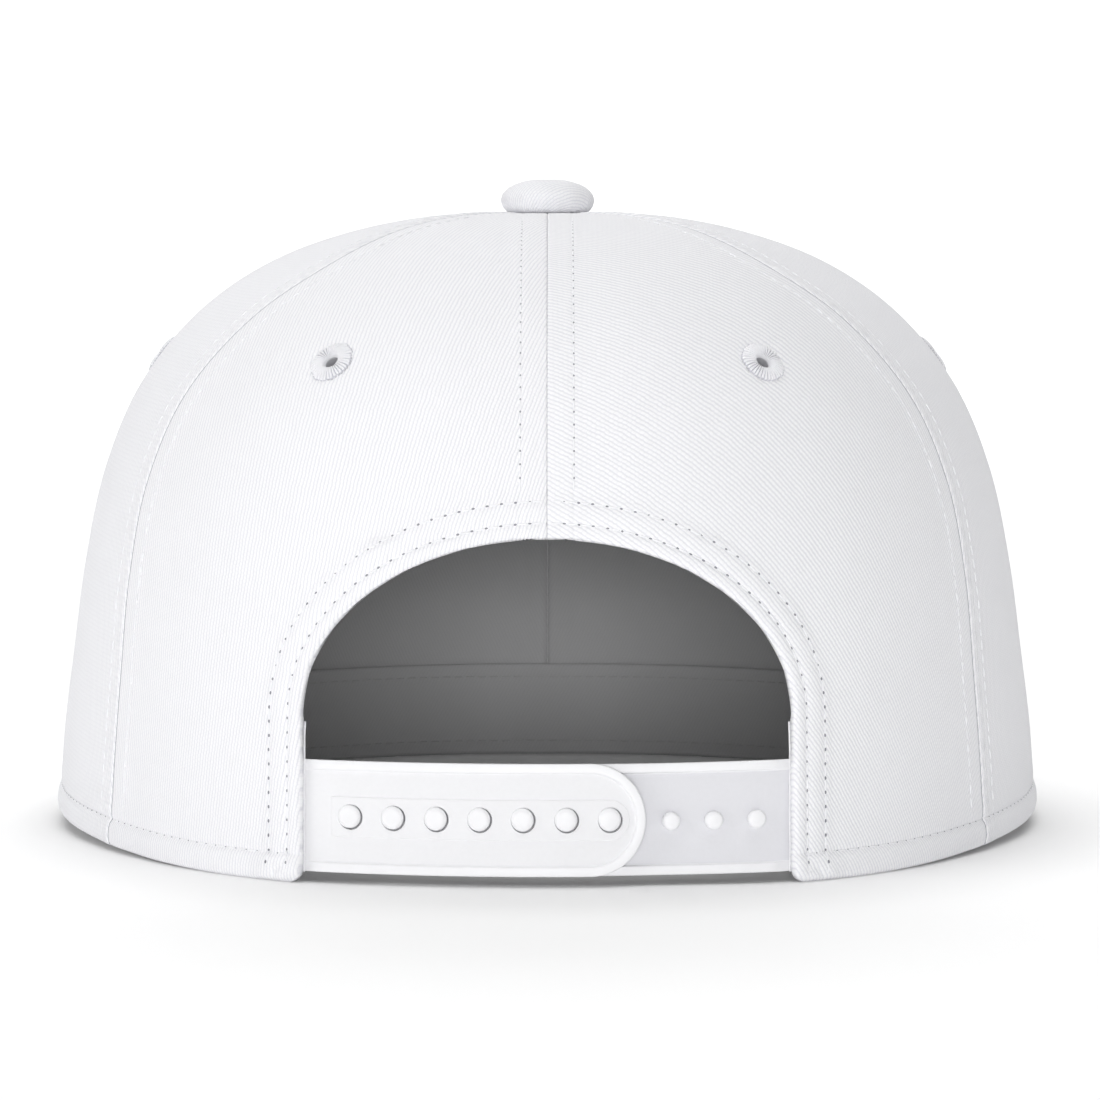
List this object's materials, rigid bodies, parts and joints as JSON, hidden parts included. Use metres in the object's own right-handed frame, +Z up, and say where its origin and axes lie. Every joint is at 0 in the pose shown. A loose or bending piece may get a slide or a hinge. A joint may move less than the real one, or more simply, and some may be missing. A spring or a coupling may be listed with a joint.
{
  "type": "snapback cap",
  "caption": "Plain white cotton cap with a rounded crown of sewn panels, a flat brim, and a plastic snap closure across the arched opening at the back.",
  "frame": {"origin": "on the surface that the cap rests on, under the middle of its bounding box", "axes": "+Z up; +Y from the back of the cap to the front of the brim; +X to the wearer's right"},
  "size_m": [0.1898, 0.2656, 0.1231],
  "materials": {
    "white_twill": "white cotton twill",
    "grey_twill": "grey cotton twill",
    "white_thread": "white polyester thread",
    "white_plastic": "satin white polyethylene"
  },
  "bodies": {
    "root": {"panel_back_right": "white_twill", "panel_side_right": "white_twill", "panel_front_right": "white_twill", "panel_front_left": "white_twill", "panel_side_left": "white_twill", "panel_back_left": "white_twill", "lining_back_right": "grey_twill", "lining_side_right": "grey_twill", "lining_front_right": "grey_twill", "lining_front_left": "grey_twill", "lining_side_left": "grey_twill", "lining_back_left": "grey_twill", "eyelet_back_right": "white_thread", "eyelet_side_right": "white_thread", "eyelet_front_right": "white_thread", "eyelet_front_left": "white_thread", "eyelet_side_left": "white_thread", "eyelet_back_left": "white_thread", "top_button": "white_twill", "sweatband": "grey_twill", "brim_upper": "white_twill", "brim_underside": "grey_twill", "snap_strap_holed": "white_plastic", "snap_strap_pegged": "white_plastic"}
  },
  "joints": []
}
